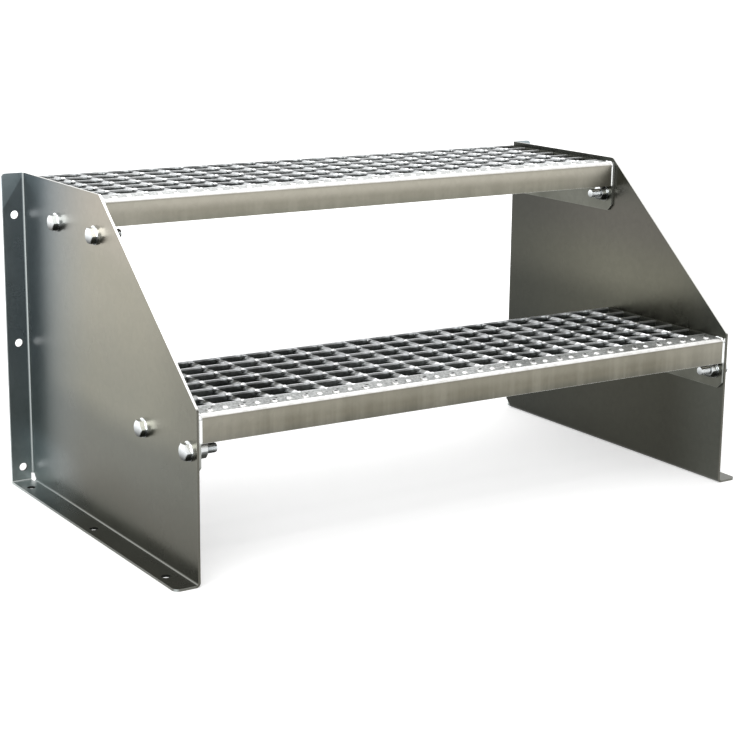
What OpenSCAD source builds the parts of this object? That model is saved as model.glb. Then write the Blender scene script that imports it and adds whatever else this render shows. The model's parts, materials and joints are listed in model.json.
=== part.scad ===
// Two-step stair with grating treads on folded side stringers.
// Millimetres, Z up. The origin lies on the floor, midway between the stringers
// and midway from the front edge to the wall side. Y points to the wall.

/* [Steps] */
// Clear width between the stringers, which is the length of a tread
tread_len = 800; // [500:10:1100]
// Height of the lower walking surface above the floor
first_rise = 204; // [160:1:240]
// Height from the lower walking surface to the upper one
rise = 212; // [160:1:240]
// Distance from the front of the lower tread to the front of the upper one
going = 245; // [210:1:300]
// Depth of a tread, front to back
tread_depth = 244; // [200:1:300]
// How far the front of a tread lies behind the front edge of the stringers
tread_set = 1; // [0.5:0.5:5]

/* [Stringers] */
// Thickness of the folded sheet
plate_t = 3; // [2:0.5:5]
// How far the stringer edge stands above a walking surface
edge_rise = 6; // [2:1:20]
// How far the sloping edge ends behind the front of the upper tread
edge_set = 4; // [0:1:20]
// Width of the wall flange beyond the outer face of the sheet
wall_flange = 30; // [26:1:50]
// Width of the floor flange beyond the outer face of the sheet
floor_flange = 30; // [30:1:50]
// Inner radius of the folds
fold_r = 3; // [1:0.5:5]
// Radius of the two corners of the sloping edge
edge_corner_r = 6; // [1:1:15]
// Radius of the free corner at the front of the floor flange
floor_corner_r = 8; // [1:1:12]
// Radius of the free corner at the top of the wall flange
wall_corner_r = 5; // [1:1:12]
// Corner cut away where the two folds would meet
fold_relief = 12; // [8:1:20]
// Gap between the end of the wall flange and the floor flange
flange_gap = 1; // [0.5:0.5:3]

/* [Anchor holes] */
// Diameter of the anchor holes in both flanges
anchor_d = 11; // [7:0.5:14]
// Wall holes from the outer face of the sheet
wall_hole_out = 14; // [13:1:20]
// Lowest wall hole above the floor
wall_hole_low = 22; // [16:1:40]
// Highest wall hole below the top of the stringer
wall_hole_drop = 55; // [20:1:80]
// Floor holes from the outer face of the sheet
floor_hole_out = 18; // [13:1:20]
// First floor hole behind the front edge
floor_hole_front = 47; // [25:1:80]
// Last floor hole ahead of the wall
floor_hole_back = 39; // [25:1:80]

/* [Grating] */
// Thickness of a bearing bar
bar_t = 3; // [2:0.5:5]
// Height of a bearing bar
bar_h = 30; // [25:1:40]
// Spacing of the bearing bars, centre to centre
bar_pitch = 34.33; // [30:0.01:42]
// Side of the square cross rods
rod_w = 5; // [4:0.5:7]
// Spacing of the cross rods, centre to centre
rod_pitch = 38.1; // [33:0.1:52]
// Straight stretch of a rod on each side of a bar, before its twist begins
rod_straight = 1; // [0.5:0.5:4]
// Least gap from the last cross rod to an end plate
rod_end_gap = 5; // [3:1:15]

/* [Nosing] */
// Least depth of the perforated strip, front to back
nosing_least = 30; // [30:1:41]
// Height of the front face
nosing_h = 34; // [31:1:45]
// Thickness of the nosing sheet
nosing_t = 3; // [2:0.5:4]
// Outer radius of the nosing fold
nosing_r = 6; // [4.5:0.5:8]
// Spacing of the holes along each row of the strip
grip_pitch = 42; // [32:1:60]
// Holes with a raised collar, behind the front face
collar_in = 15; // [14:0.5:16]
// Diameter of a collar at its foot
collar_d = 10; // [8:0.5:11]
// Diameter of a collar at its rim
collar_top_d = 7; // [6:0.5:7.5]
// Hole through a collar
collar_hole_d = 4.5; // [3:0.5:5]
// Solid studs midway between the collars, behind the front face
stud_in = 18; // [14:0.5:22]
// Diameter of a stud at its foot
stud_d = 9; // [6:0.5:10]
// Diameter of a stud at its crown
stud_top_d = 5; // [3:0.5:5.5]
// Height of collars and studs above the strip
grip_h = 1.2; // [0.6:0.1:2]
// Plain drain holes, behind the front face
drain_in = 25.5; // [23:0.5:26]
// Drain holes to the right of the collars
drain_aside = 8.5; // [0:0.5:16]
// Diameter of a drain hole
drain_d = 4; // [3:0.5:5]

/* [End plates] */
// Thickness of an end plate
end_t = 3; // [2:0.5:6]
// End plate below the centre of its bolts
end_under = 25; // [22:1:40]
// Corners cut off the lower edge of an end plate
end_chamfer = 8; // [2:1:12]

/* [Welds] */
// Width of the bead that joins each end of a nosing to its end plate
bead_w = 4; // [3:0.5:5]
// Height of that bead
bead_h = 1; // [0.5:0.25:1.5]
// Leg of the fillets behind the bars and the nosing
fillet = 3; // [2:0.5:5]
// Fillets from the upper and the lower edge of a bar
fillet_in = 6; // [3:1:10]

/* [Fasteners] */
// Clearance of a washer behind the front face of the nosing
washer_behind = 1; // [0.5:0.5:10]
// Clearance of a washer below the bearing bars
washer_below = 3; // [0.5:0.5:10]
// Spacing of the two bolts at each end of a tread
bolt_spacing = 117; // [90:1:150]
// Thread diameter of the bolts
bolt_d = 12; // [8:1:12]
// Clearance of a bolt hole around its bolt, on the diameter
bolt_clear = 1; // [0.5:0.25:2]
// Extra length of the rear hole of an end plate, a slot that its washer hides
slot_extra = 6; // [1:1:8]
// Length of a bolt under its head
bolt_len = 35; // [30:1:50]
// Chamfer at the end of a bolt
bolt_tip = 1.5; // [0.5:0.25:3]
// Width of bolt head and nut across the flats
hex_af = 19; // [16:0.5:20]
// Round crown of head and nut inside the flats
hex_crown = 0.5; // [0.2:0.1:1]
// Slope of the chamfer around the crown, in degrees
hex_slope = 30; // [15:1:40]
// Height of a bolt head
head_h = 7.5; // [5:0.5:9]
// Height of a nut
nut_h = 10; // [6:0.5:11]
// Outer diameter of a washer
washer_d = 24; // [20:0.5:26]
// Thickness of a washer
washer_t = 2.5; // [1.5:0.5:3]

/* [Hidden] */
$fn = 48;
arc_steps = 8;
twist_steps = 3;
cut = 1;

inner_x = tread_len / 2;
outer_x = inner_x + plate_t;
fold_out = fold_r + plate_t;
fold_x = inner_x + fold_out;
depth = tread_set + going + tread_depth;
edge_front = first_rise + edge_rise;
height = first_rise + rise + edge_rise;
wall_holes = [
    wall_hole_low,
    (wall_hole_low + height - wall_hole_drop) / 2,
    height - wall_hole_drop];
floor_holes = [
    floor_hole_front,
    (floor_hole_front + depth - floor_hole_back) / 2,
    depth - floor_hole_back];

// Each tread is known by the place of its front top edge
LOWER = [tread_set, first_rise];
UPPER = [tread_set + going, first_rise + rise];
RIGHT = 1;
LEFT = -1;

cell_rows = floor((tread_depth - bar_t - nosing_least) / bar_pitch);
rod_len = cell_rows * bar_pitch;
nosing_top = tread_depth - bar_t - rod_len;
bar_half = inner_x - end_t;
bar_len = 2 * bar_half;
rods_half = floor((bar_half - rod_end_gap - rod_w / 2) / rod_pitch + 0.5);
rod_at = [for (k = [1 - rods_half : rods_half]) (k - 0.5) * rod_pitch];
// Twisted corners come level with the bars, so the flats in the seats lie lower
rod_drop = rod_w / sqrt(2);
seat_depth = rod_drop + rod_w / 2;

grips_half = floor((bar_half - collar_d) / grip_pitch);
collar_at = [for (k = [-grips_half : grips_half]) k * grip_pitch];
stud_at = [for (k = [-grips_half : grips_half - 1]) (k + 0.5) * grip_pitch];

bolt_in = nosing_t + washer_behind + washer_d / 2;
bolt_drop = bar_h + washer_below + washer_d / 2;
bolt_at = [bolt_in, bolt_in + bolt_spacing];
hole_d = bolt_d + bolt_clear;
end_h = bolt_drop + end_under;

GALVANISED = [0.56, 0.57, 0.55];
BRIGHT = [0.78, 0.79, 0.79];
GRATING = [0.70, 0.72, 0.72];
NOSING = [0.62, 0.61, 0.57];

// Outlines with rounded corners

function unit(v) = v / norm(v);

// Points of one corner p between its neighbours a and b, rounded to radius r
function corner(a, p, b, r) =
    r == 0 ? [p] :
    let (
        u = unit(a - p),
        w = unit(b - p),
        half = acos(u * w) / 2,
        centre = p + unit(u + w) * r / sin(half),
        start = p + u * r / tan(half),
        stop = p + w * r / tan(half))
    [for (k = [0 : arc_steps])
        centre + unit(start + (stop - start) * k / arc_steps - centre) * r];

// A closed outline of [y, z, corner radius] rows
function rounded(rows) =
    let (n = len(rows), at = [for (row = rows) [row[0], row[1]]])
    [for (i = [0 : n - 1])
        each corner(at[(i + n - 1) % n], at[i], at[(i + 1) % n], rows[i][2])];

// Placing

// Puts the front floor edge of the stair at its place in the frame
module in_frame() {
    translate([0, -depth / 2, 0]) children();
}

// Turns an outline in Y and Z into a sheet that starts at x and grows outwards
module sheet_at(x, thickness) {
    translate([x, 0, 0]) rotate([90, 0, 90]) linear_extrude(thickness) children();
}

// Builds a right-hand piece, or its mirror image on the left
module on_side(side) {
    if (side == RIGHT) children();
    else mirror([1, 0, 0]) children();
}

// Stands a turned piece on the plane at x, with its axis pointing along X
module along_x(x) {
    translate([x, 0, 0]) rotate([0, 90, 0]) children();
}

// Stringers

// Section of a fold: a quarter ring that leaves the sheet at x = 0
// and the flange at y = 0, with its centre at [fold_out, fold_out]
module fold_section() {
    intersection() {
        translate([fold_out, fold_out]) difference() {
            circle(fold_out);
            circle(fold_r);
        }
        square(fold_out);
    }
}

module side_sheet() {
    sheet_at(inner_x, plate_t) polygon(rounded([
        [0, fold_out, 0],
        [depth - fold_relief, fold_out, 0],
        [depth - fold_out, fold_relief, 0],
        [depth - fold_out, height, 0],
        [UPPER[0] + edge_set, height, edge_corner_r],
        [0, edge_front, edge_corner_r]]));
}

module floor_fold_and_flange() {
    translate([inner_x, depth - fold_relief, 0]) rotate([90, 0, 0])
        linear_extrude(depth - fold_relief) fold_section();
    linear_extrude(plate_t) polygon(rounded([
        [fold_x, 0, 0],
        [outer_x + floor_flange, 0, floor_corner_r],
        [outer_x + floor_flange, depth, 0],
        [fold_x, depth, 0]]));
}

module wall_fold_and_flange() {
    translate([inner_x, depth, fold_relief]) mirror([0, 1, 0])
        linear_extrude(height - fold_relief) fold_section();
    translate([0, depth, 0]) rotate([90, 0, 0]) linear_extrude(plate_t)
        polygon(rounded([
            [fold_x, plate_t + flange_gap, 0],
            [outer_x + wall_flange, plate_t + flange_gap, 0],
            [outer_x + wall_flange, height, wall_corner_r],
            [fold_x, height, 0]]));
}

module anchor_holes() {
    for (z = wall_holes)
        translate([outer_x + wall_hole_out, depth + cut, z]) rotate([90, 0, 0])
            cylinder(h = plate_t + 2 * cut, d = anchor_d);
    for (y = floor_holes)
        translate([outer_x + floor_hole_out, y, -cut])
            cylinder(h = plate_t + 2 * cut, d = anchor_d);
}

// The two bolt holes at one end of a tread, through a sheet from x outwards
module bolt_holes(tread, x, thickness) {
    for (in = bolt_at)
        translate([0, tread[0] + in, tread[1] - bolt_drop]) along_x(x - cut)
            cylinder(h = thickness + 2 * cut, d = hole_d);
}

module stringer(side) {
    color(GALVANISED) in_frame() on_side(side) difference() {
        union() {
            side_sheet();
            floor_fold_and_flange();
            wall_fold_and_flange();
        }
        anchor_holes();
        bolt_holes(LOWER, inner_x, plate_t);
        bolt_holes(UPPER, inner_x, plate_t);
    }
}

// Treads

// Children stand with their front top edge at y = 0 and z = 0
module on_tread(tread) {
    in_frame() translate([0, tread[0], tread[1]]) children();
}

// Folded angle in Y and Z, its front face at y = 0 and its top at z = 0
module nosing_section() {
    translate([0, -nosing_h]) square([nosing_t, nosing_h - nosing_r]);
    translate([nosing_r, -nosing_t]) square([nosing_top - nosing_r, nosing_t]);
    intersection() {
        translate([nosing_r, -nosing_r]) difference() {
            circle(nosing_r);
            circle(nosing_r - nosing_t);
        }
        translate([0, -nosing_r]) square(nosing_r);
    }
}

// A cone that is pressed up out of the strip, with its foot inside the sheet
module pressed_up(foot_d, top_d) {
    translate([0, 0, -nosing_t / 2]) cylinder(h = nosing_t / 2, d = foot_d);
    cylinder(h = grip_h, d1 = foot_d, d2 = top_d);
}

module strip_hole(d) {
    translate([0, 0, -nosing_t - cut]) cylinder(h = nosing_t + grip_h + 2 * cut, d = d);
}

module nosing(tread) {
    color(NOSING) on_tread(tread) difference() {
        union() {
            sheet_at(-bar_half, bar_len) nosing_section();
            for (x = collar_at) translate([x, collar_in, 0]) pressed_up(collar_d, collar_top_d);
            for (x = stud_at) translate([x, stud_in, 0]) pressed_up(stud_d, stud_top_d);
        }
        for (x = collar_at) {
            translate([x, collar_in, 0]) strip_hole(collar_hole_d);
            translate([x + drain_aside, drain_in, 0]) strip_hole(drain_d);
        }
    }
}

// Side view of a bearing bar in X and Z, with a seat for every cross rod
function bar_outline() = concat(
    [[bar_half, -bar_h], [-bar_half, -bar_h], [-bar_half, 0]],
    [for (x = rod_at) each [
        [x - rod_w / 2, 0], [x - rod_w / 2, -seat_depth],
        [x + rod_w / 2, -seat_depth], [x + rod_w / 2, 0]]],
    [[bar_half, 0]]);

module bearing_bars(tread) {
    color(GRATING) on_tread(tread)
        for (row = [0 : cell_rows - 1])
            translate([0, nosing_top + bar_t + row * bar_pitch, 0]) rotate([90, 0, 0])
                linear_extrude(bar_t) polygon(bar_outline());
}

// Stations along a cross rod as [y, angle]: it lies straight in the seat of each bar
// and turns a quarter before the next
function rod_stations() = concat(
    [[0, 0]],
    [for (row = [0 : cell_rows - 1], step = [0 : twist_steps])
        let (
            start = bar_t + rod_straight,
            stop = bar_pitch - rod_straight,
            part = step / twist_steps)
        [row * bar_pitch + start + (stop - start) * part, 90 * (row + part)]],
    [[rod_len, 90 * cell_rows]]);

// A square rod along Y, turned about its own axis from station to station
module twisted_rod() {
    stations = rod_stations();
    last = 4 * (len(stations) - 1);
    polyhedron(
        points = [for (s = stations, k = [0 : 3])
            let (a = s[1] + 45 + 90 * k)
            [rod_drop * cos(a), s[0], rod_drop * sin(a)]],
        faces = concat(
            [[3, 2, 1, 0], [last, last + 1, last + 2, last + 3]],
            [for (i = [0 : 4 : last - 4], k = [0 : 3])
                let (a = i + k, b = i + (k + 1) % 4)
                each [[a, b, b + 4], [a, b + 4, a + 4]]]));
}

module cross_rods(tread) {
    color(BRIGHT) on_tread(tread)
        for (x = rod_at) translate([x, nosing_top, -rod_drop]) twisted_rod();
}

module rear_bar(tread) {
    color(GRATING) on_tread(tread)
        translate([-bar_half, tread_depth - bar_t, -bar_h]) cube([bar_len, bar_t, bar_h]);
}

// End plates, with the weld metal that holds the tread to them

module end_sheet() {
    sheet_at(bar_half, end_t) polygon([
        [0, 0], [0, end_chamfer - end_h], [end_chamfer, -end_h],
        [tread_depth - end_chamfer, -end_h], [tread_depth, end_chamfer - end_h],
        [tread_depth, 0]]);
}

// A low round bead over the joint of the nosing's front face and the plate
module nosing_bead() {
    bead_r = (bead_w * bead_w / 4 + bead_h * bead_h) / (2 * bead_h);
    translate([bar_half, 0, -nosing_h]) linear_extrude(nosing_h - nosing_r) intersection() {
        translate([0, bead_r - bead_h]) circle(bead_r);
        translate([-bead_w, -bead_w]) square([2 * bead_w, bead_w]);
    }
}

// A fillet from the plate to a bar whose face is at y; turn is 1 behind it and -1 ahead
module bar_fillet(y, turn) {
    top = max(fillet_in, nosing_r);
    translate([bar_half, y, fillet_in - bar_h]) linear_extrude(bar_h - fillet_in - top)
        polygon([[0, 0], [-fillet, 0], [0, turn * fillet]]);
}

// The front hole is round and the rear one is a slot, which takes up the play
module end_plate_holes() {
    translate([0, bolt_at[0], -bolt_drop]) along_x(bar_half - cut)
        cylinder(h = end_t + 2 * cut, d = hole_d);
    translate([0, bolt_at[1], -bolt_drop]) {
        for (y = [-slot_extra / 2, slot_extra / 2])
            translate([0, y, 0]) along_x(bar_half - cut) cylinder(h = end_t + 2 * cut, d = hole_d);
        translate([bar_half - cut, -slot_extra / 2, -hole_d / 2])
            cube([end_t + 2 * cut, slot_extra, hole_d]);
    }
}

module end_plate(tread, side) {
    color(NOSING) on_tread(tread) on_side(side) difference() {
        union() {
            end_sheet();
            nosing_bead();
            bar_fillet(nosing_t, 1);
            for (row = [0 : cell_rows - 1])
                bar_fillet(nosing_top + bar_t + row * bar_pitch, 1);
            bar_fillet(tread_depth - bar_t, -1);
        }
        end_plate_holes();
    }
}

// Fasteners

// Children sit on the axis of each bolt, at x = 0, with X pointing outwards
module at_bolts(tread, side) {
    on_tread(tread) on_side(side) for (in = bolt_at)
        translate([0, in, -bolt_drop]) children();
}

// Hexagon prism whose corners are chamfered at the top, and at the bottom of a nut
module hex(h, both_ends) {
    crown_r = hex_af / 2 - hex_crown;
    reach = hex_af / 2 / cos(30) + cut;
    drop = (reach - crown_r) * tan(hex_slope);
    intersection() {
        rotate([0, 0, 30]) cylinder(h = h, d = hex_af / cos(30), $fn = 6);
        rotate_extrude() polygon([
            [0, 0], [both_ends ? crown_r : reach, 0], [reach, both_ends ? drop : 0],
            [reach, h - drop], [crown_r, h], [0, h]]);
    }
}

module washer() {
    difference() {
        cylinder(h = washer_t, d = washer_d);
        translate([0, 0, -cut]) cylinder(h = washer_t + 2 * cut, d = hole_d);
    }
}

module bolts(tread, side) {
    head_x = outer_x + washer_t;
    color(BRIGHT) at_bolts(tread, side) {
        along_x(head_x) hex(head_h, false);
        along_x(head_x - bolt_len) cylinder(h = bolt_tip, d1 = bolt_d - 2 * bolt_tip, d2 = bolt_d);
        along_x(head_x - bolt_len + bolt_tip) cylinder(h = bolt_len - bolt_tip, d = bolt_d);
    }
}

module washers(tread, side) {
    color(BRIGHT) at_bolts(tread, side) {
        along_x(outer_x) washer();
        along_x(bar_half - washer_t) washer();
    }
}

module nuts(tread, side) {
    color(BRIGHT) at_bolts(tread, side) along_x(bar_half - washer_t - nut_h) difference() {
        hex(nut_h, true);
        translate([0, 0, -cut]) cylinder(h = nut_h + 2 * cut, d = bolt_d);
    }
}

stringer(LEFT);  // left_stringer
stringer(RIGHT);  // right_stringer
nosing(LOWER);  // lower_nosing
bearing_bars(LOWER);  // lower_bearing_bars
cross_rods(LOWER);  // lower_cross_rods
rear_bar(LOWER);  // lower_rear_bar
end_plate(LOWER, LEFT);  // lower_left_end_plate
end_plate(LOWER, RIGHT);  // lower_right_end_plate
nosing(UPPER);  // upper_nosing
bearing_bars(UPPER);  // upper_bearing_bars
cross_rods(UPPER);  // upper_cross_rods
rear_bar(UPPER);  // upper_rear_bar
end_plate(UPPER, LEFT);  // upper_left_end_plate
end_plate(UPPER, RIGHT);  // upper_right_end_plate
bolts(LOWER, LEFT);  // lower_left_bolts
washers(LOWER, LEFT);  // lower_left_washers
nuts(LOWER, LEFT);  // lower_left_nuts
bolts(LOWER, RIGHT);  // lower_right_bolts
washers(LOWER, RIGHT);  // lower_right_washers
nuts(LOWER, RIGHT);  // lower_right_nuts
bolts(UPPER, LEFT);  // upper_left_bolts
washers(UPPER, LEFT);  // upper_left_washers
nuts(UPPER, LEFT);  // upper_left_nuts
bolts(UPPER, RIGHT);  // upper_right_bolts
washers(UPPER, RIGHT);  // upper_right_washers
nuts(UPPER, RIGHT);  // upper_right_nuts
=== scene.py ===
"""Looks of a two-step stair: folded galvanised side sheets and two grating treads.

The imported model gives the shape, size and place of every piece. This script dresses
those pieces, adds the forge welds, weld beads and bolt threads that the construction
leaves out, and sets up the floor, the light and the camera.
"""

import json
import logging
import math
from dataclasses import dataclass
from enum import Enum

import bmesh
import bpy
from mathutils import Matrix, Vector

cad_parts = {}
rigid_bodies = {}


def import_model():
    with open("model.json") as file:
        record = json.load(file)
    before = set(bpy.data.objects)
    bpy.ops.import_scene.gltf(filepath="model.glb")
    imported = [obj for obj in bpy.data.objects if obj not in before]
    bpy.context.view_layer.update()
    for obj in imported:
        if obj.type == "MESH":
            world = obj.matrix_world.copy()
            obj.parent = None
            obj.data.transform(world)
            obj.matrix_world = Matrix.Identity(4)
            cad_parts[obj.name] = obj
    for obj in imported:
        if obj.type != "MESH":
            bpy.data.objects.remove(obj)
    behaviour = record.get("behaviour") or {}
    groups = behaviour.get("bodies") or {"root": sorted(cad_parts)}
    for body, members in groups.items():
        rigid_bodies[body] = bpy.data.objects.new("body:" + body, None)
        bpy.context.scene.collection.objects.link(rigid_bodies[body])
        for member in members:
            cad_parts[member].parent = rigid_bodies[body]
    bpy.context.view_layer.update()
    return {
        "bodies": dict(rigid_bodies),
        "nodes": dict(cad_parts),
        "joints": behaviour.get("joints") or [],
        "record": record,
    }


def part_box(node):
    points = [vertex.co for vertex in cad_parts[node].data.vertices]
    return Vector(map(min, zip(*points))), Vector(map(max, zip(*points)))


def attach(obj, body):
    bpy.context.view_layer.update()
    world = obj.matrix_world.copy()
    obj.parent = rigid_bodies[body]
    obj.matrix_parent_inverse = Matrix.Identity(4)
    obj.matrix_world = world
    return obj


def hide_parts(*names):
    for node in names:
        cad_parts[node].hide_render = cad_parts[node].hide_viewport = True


LOG = logging.getLogger("stair")
MM = 0.001

Socket = bpy.types.NodeSocket
Triple = tuple[float, float, float]
Source = Socket | float | tuple[float, ...]


class Side(Enum):
    """The two ends of a tread, by the sign of X."""

    LEFT = -1
    RIGHT = 1

    @property
    def word(self) -> str:
        """The side as it stands in the names of the pieces."""
        return self.name.lower()


class Level(Enum):
    """The two treads, by the word that starts the names of their pieces."""

    LOWER = "lower"
    UPPER = "upper"


class Part(Enum):
    """What the surface belongs to, by the record's slot that names its finish."""

    SHEET = "stringer_sheet"
    NOSING = "nosing_sheet"
    GRATING = "grating_steel"
    END_PLATE = "end_plate_steel"
    FASTENER = "zinc_fasteners"


def linear(code: str) -> tuple[float, float, float, float]:
    """Turns a colour as it is seen into the values that a shader takes.

    Args:
        code: Six hexadecimal digits, two for each of red, green and blue.

    Returns:
        Red, green, blue and an alpha of 1.
    """
    shares = (int(code[i:i + 2], 16) / 255 for i in (0, 2, 4))
    return (*(((s + 0.055) / 1.055) ** 2.4 if s > 0.04045 else s / 12.92 for s in shares), 1.0)


class Graph:
    """A node tree being built, with short ways to add nodes and join them."""

    def __init__(self, tree: bpy.types.NodeTree) -> None:
        """Takes the empty tree that is to be filled."""
        self.tree = tree

    def node(self, kind: str, **settings: object) -> bpy.types.Node:
        """Adds a node.

        Args:
            kind: The type name of the node.
            settings: Properties of the node and their values.

        Returns:
            The new node.
        """
        made = self.tree.nodes.new(kind)
        for name, value in settings.items():
            setattr(made, name, value)
        return made

    def feed(self, socket: Socket, value: Source) -> None:
        """Joins a source to an input, or writes a plain value on it."""
        if isinstance(value, Socket):
            self.tree.links.new(value, socket)
        else:
            socket.default_value = value

    def math(self, operation: str, *values: Source, clamp: bool = False) -> Socket:
        """Adds a Math node and returns its result."""
        made = self.node("ShaderNodeMath", operation=operation, use_clamp=clamp)
        for socket, value in zip(made.inputs, values):
            self.feed(socket, value)
        return made.outputs[0]

    def product(self, *values: Source) -> Socket:
        """Multiplies several masks or numbers."""
        total = values[0]
        for value in values[1:]:
            total = self.math("MULTIPLY", total, value)
        return total

    def vector(self, operation: str, *values: Source) -> Socket:
        """Adds a Vector Math node and returns its vector, or its number where it gives one."""
        made = self.node("ShaderNodeVectorMath", operation=operation)
        for socket, value in zip(made.inputs, values):
            self.feed(socket, value)
        return made.outputs["Value" if operation in ("DOT_PRODUCT", "LENGTH") else "Vector"]

    def ramp(self, value: Source, low: float, high: float) -> Socket:
        """Gives a soft step from 0 at low to 1 at high; low may be the larger one."""
        made = self.node("ShaderNodeMapRange", interpolation_type="SMOOTHSTEP")
        self.feed(made.inputs["Value"], value)
        self.feed(made.inputs["From Min"], min(low, high))
        self.feed(made.inputs["From Max"], max(low, high))
        self.feed(made.inputs["To Min"], 0.0 if low < high else 1.0)
        self.feed(made.inputs["To Max"], 1.0 if low < high else 0.0)
        return made.outputs["Result"]

    def remap(self, value: Source, low: float, high: float) -> Socket:
        """Spreads a value from 0..1 over low..high."""
        made = self.node("ShaderNodeMapRange")
        self.feed(made.inputs["Value"], value)
        self.feed(made.inputs["To Min"], low)
        self.feed(made.inputs["To Max"], high)
        return made.outputs["Result"]

    def mix(self, share: Source, a: Source, b: Source, blend: str = "MIX") -> Socket:
        """Mixes two colours."""
        made = self.node("ShaderNodeMix", data_type="RGBA", blend_type=blend)
        self.feed(made.inputs[0], share)
        self.feed(made.inputs[6], a)
        self.feed(made.inputs[7], b)
        return made.outputs[2]

    def stops(self, value: Source, rows: tuple[tuple[float, str], ...]) -> Socket:
        """Blends named colour stops along a value.

        Args:
            value: The number to look up.
            rows: A place on the value and a colour code for each stop, in rising order.

        Returns:
            The colour at the value.
        """
        first, last = rows[0][0], rows[-1][0]
        share = self.node("ShaderNodeMapRange")
        self.feed(share.inputs["Value"], value)
        self.feed(share.inputs["From Min"], first)
        self.feed(share.inputs["From Max"], last)
        made = self.node("ShaderNodeValToRGB")
        band = made.color_ramp
        band.interpolation = "EASE"
        while len(band.elements) < len(rows):
            band.elements.new(0.5)
        for element, (place, code) in zip(band.elements, rows):
            element.position = (place - first) / (last - first)
            element.color = linear(code)
        self.feed(made.inputs[0], share.outputs["Result"])
        return made.outputs["Color"]

    def parts(self, vector: Source) -> tuple[Socket, Socket, Socket]:
        """Splits a vector into X, Y and Z."""
        made = self.node("ShaderNodeSeparateXYZ")
        self.feed(made.inputs[0], vector)
        return tuple(made.outputs)

    def along(self, vector: Source, direction: Triple) -> Socket:
        """Gives the length of a vector along a direction."""
        return self.vector("DOT_PRODUCT", vector, tuple(Vector(direction).normalized()))

    def noise(self, vector: Source, scale: Source, detail: float = 2.0, rough: float = 0.5) -> Socket:
        """Adds soft noise from 0 to 1 at a number of features a metre."""
        made = self.node("ShaderNodeTexNoise")
        self.feed(made.inputs["Vector"], vector)
        self.feed(made.inputs["Scale"], scale)
        made.inputs["Detail"].default_value = detail
        made.inputs["Roughness"].default_value = rough
        return made.outputs["Fac"]

    def place_group(self, tree: bpy.types.NodeTree, **values: Source) -> bpy.types.Node:
        """Places a node group and feeds its inputs; underscores stand for blanks in their names."""
        made = self.node("ShaderNodeGroup", node_tree=tree)
        for name, value in values.items():
            self.feed(made.inputs[name.replace("_", " ").capitalize()], value)
        return made


def open_tree(name: str, kind: str, takes: dict[str, str], gives: dict[str, str]) -> tuple[Graph, Socket, Socket]:
    """Starts a node group of any kind.

    Args:
        name: Name of the group.
        kind: ShaderNodeTree or GeometryNodeTree.
        takes: Input names, with the kind of their sockets.
        gives: Output names, with the kind of their sockets.

    Returns:
        The graph, the sockets of its inputs and the sockets of its outputs.
    """
    tree = bpy.data.node_groups.new(name, kind)
    for direction, rows in (("INPUT", takes), ("OUTPUT", gives)):
        for title, socket in rows.items():
            tree.interface.new_socket(title, in_out=direction, socket_type=f"NodeSocket{socket}")
    graph = Graph(tree)
    return graph, graph.node("NodeGroupInput").outputs, graph.node("NodeGroupOutput").inputs


def zinc_group() -> bpy.types.NodeTree:
    """Builds the soft clouds, fine crystals and grain that hot-dip zinc shows.

    Returns:
        A group that takes a place and two scales, and puts out three masks.
    """
    graph, takes, gives = open_tree(
        "zinc_coat", "ShaderNodeTree",
        {"Place": "Vector", "Cloud scale": "Float", "Crystal scale": "Float"},
        {"Cloud": "Float", "Crystal": "Float", "Grain": "Float"},
    )
    place = takes["Place"]
    graph.feed(gives["Cloud"], graph.ramp(graph.noise(place, takes["Cloud scale"], 3.0, 0.55), 0.3, 0.7))
    cells = graph.node("ShaderNodeTexVoronoi", feature="F1")
    graph.feed(cells.inputs["Vector"], place)
    graph.feed(cells.inputs["Scale"], takes["Crystal scale"])
    tint = graph.node("ShaderNodeSeparateColor")
    graph.feed(tint.inputs[0], cells.outputs["Color"])
    graph.feed(gives["Crystal"], tint.outputs[0])
    graph.feed(gives["Grain"], graph.noise(place, 900.0, 3.0, 0.6))
    return graph.tree


def rubbed_edge_group() -> bpy.types.NodeTree:
    """Builds the mask of the painted highlight along edges.

    Returns:
        A group that takes a width and puts out a mask that is 1 on the edges.
    """
    graph, takes, gives = open_tree("rubbed_edge", "ShaderNodeTree", {"Width": "Float"}, {"Mask": "Float"})
    bevel = graph.node("ShaderNodeBevel", samples=6)
    graph.feed(bevel.inputs["Radius"], takes["Width"])
    surface = graph.node("ShaderNodeNewGeometry")
    turn = graph.vector("DOT_PRODUCT", bevel.outputs[0], surface.outputs["Normal"])
    graph.feed(gives["Mask"], graph.ramp(turn, 0.99, 0.8))
    return graph.tree


def bore_group() -> bpy.types.NodeTree:
    """Builds the mask of the walls of a row of evenly spaced holes, where painted shade goes.

    Returns:
        A group that takes how far a point lies along the row from its middle hole and how
        far beside the row, the pitch and the hole radius, and puts out the mask.
    """
    graph, takes, gives = open_tree(
        "bore_walls", "ShaderNodeTree",
        {"Along": "Float", "Beside": "Float", "Pitch": "Float", "Radius": "Float"},
        {"Mask": "Float"},
    )
    half = graph.math("MULTIPLY", takes["Pitch"], 0.5)
    along = graph.math("WRAP", takes["Along"], half, graph.math("MULTIPLY", half, -1.0))
    beside = takes["Beside"]
    reach = graph.math("SQRT", graph.math("ADD", graph.product(along, along), graph.product(beside, beside)))
    over = graph.math("SUBTRACT", reach, takes["Radius"])
    graph.feed(gives["Mask"], graph.ramp(over, 0.4 * MM, 0.1 * MM))
    return graph.tree


@dataclass(frozen=True)
class Effects:
    """The node groups that several finishes share."""

    zinc: bpy.types.NodeTree
    edge: bpy.types.NodeTree
    bore: bpy.types.NodeTree

    @classmethod
    def build(cls) -> "Effects":
        """Builds each group once."""
        return cls(zinc_group(), rubbed_edge_group(), bore_group())


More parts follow.
